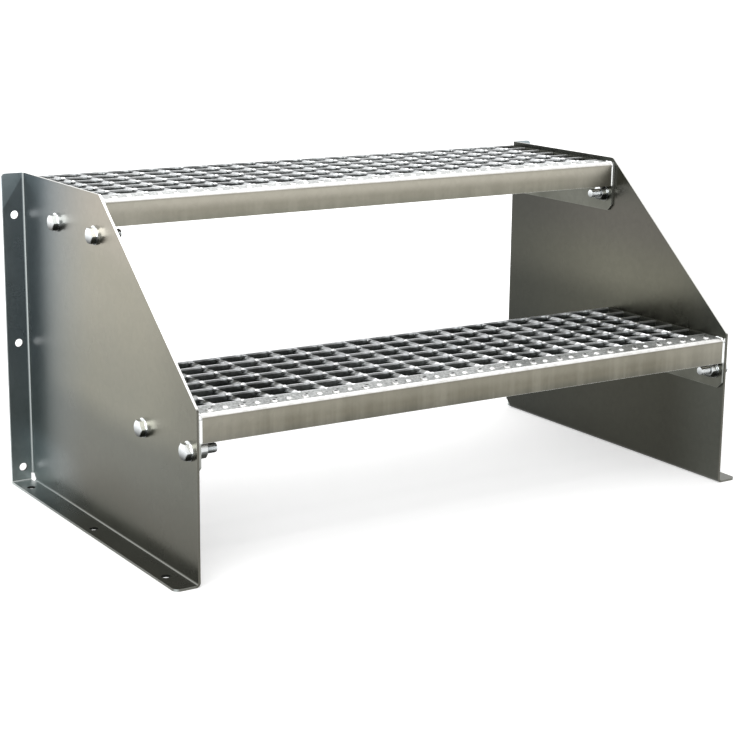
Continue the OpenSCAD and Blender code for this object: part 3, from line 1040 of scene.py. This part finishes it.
@dataclass
class Fasteners:
    """The bolts, washers and nuts at one end of a tread.

    Attributes:
        frame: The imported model.
        level: Lower or upper.
        side: Left or right.
        pitch: Pitch of the thread.
        depth: Depth of the thread.
    """

    frame: dict
    level: Level
    side: Side
    pitch: float = 1.75 * MM
    depth: float = 0.9 * MM

    def name(self, piece: str) -> str:
        """Gives the name of a piece at this end of this tread."""
        return f"{self.level.value}_{self.side.word}_{piece}"

    def head_mesh(self, cut_x: float) -> bpy.types.Mesh:
        """Copies the heads of the two bolts and closes the cut where their shanks begin.

        Args:
            cut_x: Place of the cut along X.

        Returns:
            A new mesh.
        """
        heads = bmesh.new()
        heads.from_mesh(self.frame["nodes"][self.name("bolts")].data)
        bmesh.ops.remove_doubles(heads, verts=heads.verts, dist=0.001 * MM)
        everything = heads.verts[:] + heads.edges[:] + heads.faces[:]
        bmesh.ops.bisect_plane(heads, geom=everything, plane_co=(cut_x, 0, 0),
                               plane_no=(self.side.value, 0, 0), clear_inner=True)
        bmesh.ops.holes_fill(heads, edges=[e for e in heads.edges if e.is_boundary])
        mesh = bpy.data.meshes.new(self.name("heads"))
        heads.to_mesh(mesh)
        heads.free()
        return mesh

    def build(self, tree: bpy.types.NodeTree, effects: Effects) -> None:
        """Dresses the washers and nuts, and replaces the bolts by threaded ones.

        Args:
            tree: The tree of the threaded shanks.
            effects: The shared node groups.
        """
        low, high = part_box(self.name("bolts"))
        washer_low, washer_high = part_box(self.name("washers"))
        washer_r = (washer_high.z - washer_low.z) / 2
        axis_z = (washer_high.z + washer_low.z) / 2
        metal = Fastener(f"{self.name('fastener')}_zinc", roughness=(0.2, 0.34), axis_z=axis_z).build(effects)
        for piece in ("washers", "nuts"):
            dress(self.frame["nodes"][self.name(piece)], metal)
        nut_low, nut_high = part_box(self.name("nuts"))
        outward = self.side.value
        tip = min(abs(low.x), abs(high.x)) * outward
        seat = max(abs(washer_low.x), abs(washer_high.x)) * outward
        outer_r = 6 * MM
        first, last = washer_low.y + washer_r, washer_high.y - washer_r
        bolts = grow(
            self.name("threaded_bolts"), tree, Part.FASTENER, self.head_mesh(seat - 0.5 * MM * outward),
            first_tip=(tip, first, axis_z), spacing=(0.0, last - first, 0.0),
            turn=(0.0, math.radians(90 * outward), 0.0), core_radius=outer_r - self.depth,
            outer_radius=outer_r, pitch=self.pitch, shank=abs(seat - tip), thread=26 * MM, metal=metal)
        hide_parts(self.name("bolts"))


@dataclass(frozen=True)
class Studio:
    """Floor, light and camera.

    Attributes:
        place: Where the camera stands, in metres.
        heading: Degrees that the camera looks to the right of the wall.
        tilt: Degrees that it looks down.
        roll: Degrees that it leans.
        lens: Focal length in picture widths.
    """

    place: Triple = (-1.3009, -1.9952, 0.7292)
    heading: float = 32.742
    tilt: float = 13.44
    roll: float = 0.623
    lens: float = 2.46

    def camera(self) -> None:
        """Sets the camera at the viewing angle of the photograph."""
        heading, tilt, roll = (math.radians(a) for a in (self.heading, self.tilt, self.roll))
        ahead = Vector((math.sin(heading) * math.cos(tilt), math.cos(heading) * math.cos(tilt), -math.sin(tilt)))
        right = ahead.cross(Vector((0, 0, 1))).normalized()
        up = right.cross(ahead)
        leaning = math.cos(roll) * right + math.sin(roll) * up
        upright = math.cos(roll) * up - math.sin(roll) * right
        data = bpy.data.cameras.new("camera")
        data.sensor_width = 36.0
        data.lens = self.lens * data.sensor_width
        data.clip_start, data.clip_end = 0.05, 100.0
        camera = bpy.data.objects.new("camera", data)
        camera.matrix_world = Matrix.Translation(self.place) @ Matrix(
            (leaning, upright, -ahead)).transposed().to_4x4()
        bpy.context.scene.collection.objects.link(camera)
        bpy.context.scene.camera = camera

    def lamp(self, name: str, place: Triple, size: float, watts: float) -> None:
        """Adds a soft square lamp that points at the middle of the stair."""
        data = bpy.data.lights.new(name, "AREA")
        data.size, data.energy = size, watts
        lamp = bpy.data.objects.new(name, data)
        aim = (Vector((0, 0, 0.2)) - Vector(place)).to_track_quat("-Z", "Y")
        lamp.matrix_world = Matrix.Translation(place) @ aim.to_matrix().to_4x4()
        bpy.context.scene.collection.objects.link(lamp)

    def seen_directly(self, graph: Graph) -> Socket:
        """Gives 1 for what the camera sees, also in a mirror or through glass."""
        rays = graph.node("ShaderNodeLightPath")
        seen = graph.math("ADD", rays.outputs["Is Camera Ray"], rays.outputs["Is Glossy Ray"])
        return graph.math("ADD", seen, rays.outputs["Is Transmission Ray"], clamp=True)

    def world(self) -> None:
        """Makes a white surround that the camera and reflections see, and a softer ambient light."""
        world = bpy.data.worlds.new("studio")
        world.use_nodes = True
        world.node_tree.nodes.clear()
        graph = Graph(world.node_tree)
        light = graph.node("ShaderNodeBackground")
        graph.feed(light.inputs["Strength"], graph.remap(self.seen_directly(graph), 0.6, 1.0))
        light.inputs["Color"].default_value = (1.0, 1.0, 1.0, 1.0)
        graph.feed(graph.node("ShaderNodeOutputWorld").inputs["Surface"], light.outputs[0])
        bpy.context.scene.world = world

    def floor(self) -> None:
        """Lays a plain pale floor that reads white but keeps the shadow."""
        mesh = bpy.data.meshes.new("floor")
        reach = 40.0
        mesh.from_pydata([(-reach, -reach, 0), (reach, -reach, 0), (reach, reach, 0), (-reach, reach, 0)], [],
                         [(0, 1, 2, 3)])
        floor = bpy.data.objects.new("floor", mesh)
        bpy.context.scene.collection.objects.link(floor)
        material = bpy.data.materials.new("pale_floor")
        material.use_nodes = True
        material.node_tree.nodes.clear()
        graph = Graph(material.node_tree)
        where = graph.node("ShaderNodeTexCoord")
        far = graph.ramp(graph.vector("LENGTH", where.outputs["Object"]), 0.9, 2.2)
        matt = graph.node("ShaderNodeBsdfDiffuse")
        matt.inputs["Color"].default_value = (0.86, 0.86, 0.86, 1)
        glow = graph.node("ShaderNodeEmission")
        seen = self.seen_directly(graph)
        graph.feed(glow.inputs["Strength"], graph.product(seen, graph.remap(far, 0.42, 1.0)))
        both = graph.node("ShaderNodeAddShader")
        graph.feed(both.inputs[0], matt.outputs[0])
        graph.feed(both.inputs[1], glow.outputs[0])
        graph.feed(graph.node("ShaderNodeOutputMaterial").inputs["Surface"], both.outputs[0])
        mesh.materials.append(material)

    def build(self) -> None:
        """Builds the whole studio."""
        bpy.context.scene.view_settings.view_transform = "Standard"
        self.world()
        self.floor()
        self.lamp("key_lamp", (-1.6, -1.6, 2.6), 2.2, 50.0)
        self.lamp("top_lamp", (0.6, 1.0, 2.8), 2.5, 35.0)
        self.camera()


def main() -> None:
    """Dresses the stair, adds its fine pieces and sets up the studio."""
    logging.basicConfig(level=logging.INFO, format="%(name)s: %(message)s")
    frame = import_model()
    effects = Effects.build()
    weld = Weld("weld_zinc", roughness=(0.25, 0.4), relief=0.1 * MM).build(effects)
    forge, bead, shank = forge_weld_tree(), weld_bead_tree(), threaded_shank_tree()
    Stringers(frame, effects).build()
    for level in Level:
        tread = Tread(frame, effects, level)
        tread.dress()
        tread.forge_welds(forge, weld)
        tread.nosing_beads(bead, weld)
        for side in Side:
            Fasteners(frame, level, side).build(shank, effects)
    Studio().build()


if __name__ == "__main__":
    main()
